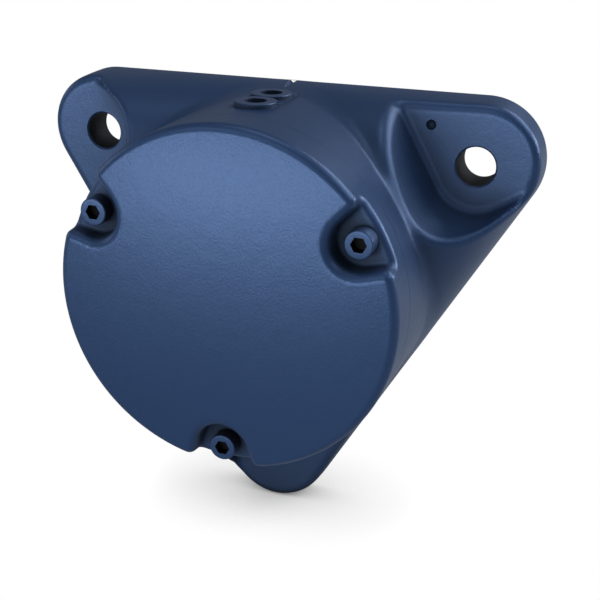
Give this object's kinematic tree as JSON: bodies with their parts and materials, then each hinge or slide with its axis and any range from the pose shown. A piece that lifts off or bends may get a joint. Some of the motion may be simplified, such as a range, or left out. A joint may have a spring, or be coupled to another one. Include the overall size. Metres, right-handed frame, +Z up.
{
  "type": "flanged bearing housing",
  "caption": "Triangular flanged housing with arched arms, cast bolt pockets and a round end cover, holding a self-aligning ball bearing on an adapter sleeve.",
  "frame": {"origin": "centre of the bolt circle on the mounting face, which is also on the shaft axis", "axes": "+Y along the shaft axis out of the mounting face, towards the machine it is bolted to; +Z up, away from the bottom lug; +X to the right when the cover faces the viewer"},
  "size_m": [0.192, 0.077, 0.1723],
  "materials": {
    "painted_casting": "satin blue paint over a fine sand-cast skin",
    "painted_screw": "satin blue paint over steel",
    "ground_steel": "ground bearing steel",
    "polished_balls": "polished bearing steel",
    "turned_steel": "turned steel, lightly oiled",
    "cage_brass": "machined brass",
    "seal_rubber": "black nitrile rubber",
    "felt": "pressed grey-brown felt"
  },
  "bodies": {
    "housing": {"housing": "painted_casting", "end_cover": "painted_casting", "cover_screw_right": "painted_screw", "cover_screw_left": "painted_screw", "cover_screw_bottom": "painted_screw", "cover_seal": "seal_rubber", "felt_seal": "felt", "bearing_outer_ring": "ground_steel"},
    "shaft_seat": {"bearing_inner_ring": "ground_steel", "adapter_sleeve": "turned_steel", "lock_washer": "turned_steel", "lock_nut": "turned_steel"},
    "ball_train": {"bearing_cage": "cage_brass", "ball_front_1": "polished_balls", "ball_front_2": "polished_balls", "ball_front_3": "polished_balls", "ball_front_4": "polished_balls", "ball_front_5": "polished_balls", "ball_front_6": "polished_balls", "ball_front_7": "polished_balls", "ball_front_8": "polished_balls", "ball_front_9": "polished_balls", "ball_front_10": "polished_balls", "ball_front_11": "polished_balls", "ball_front_12": "polished_balls", "ball_front_13": "polished_balls", "ball_front_14": "polished_balls", "ball_front_15": "polished_balls", "ball_front_16": "polished_balls", "ball_rear_1": "polished_balls", "ball_rear_2": "polished_balls", "ball_rear_3": "polished_balls", "ball_rear_4": "polished_balls", "ball_rear_5": "polished_balls", "ball_rear_6": "polished_balls", "ball_rear_7": "polished_balls", "ball_rear_8": "polished_balls", "ball_rear_9": "polished_balls", "ball_rear_10": "polished_balls", "ball_rear_11": "polished_balls", "ball_rear_12": "polished_balls", "ball_rear_13": "polished_balls", "ball_rear_14": "polished_balls", "ball_rear_15": "polished_balls", "ball_rear_16": "polished_balls"}
  },
  "joints": [
    {"name": "shaft_spin", "type": "hinge", "parent": "housing", "child": "shaft_seat", "pos_m": [0, -0.0393, 0], "axis": [0, 1, 0], "continuous": true},
    {"name": "ball_train_spin", "type": "hinge", "parent": "housing", "child": "ball_train", "pos_m": [0, -0.0393, 0], "axis": [0, 1, 0], "continuous": true}
  ],
  "couplings": [
    {"joint": "ball_train_spin", "follows": "shaft_spin", "ratio": 0.425}
  ]
}
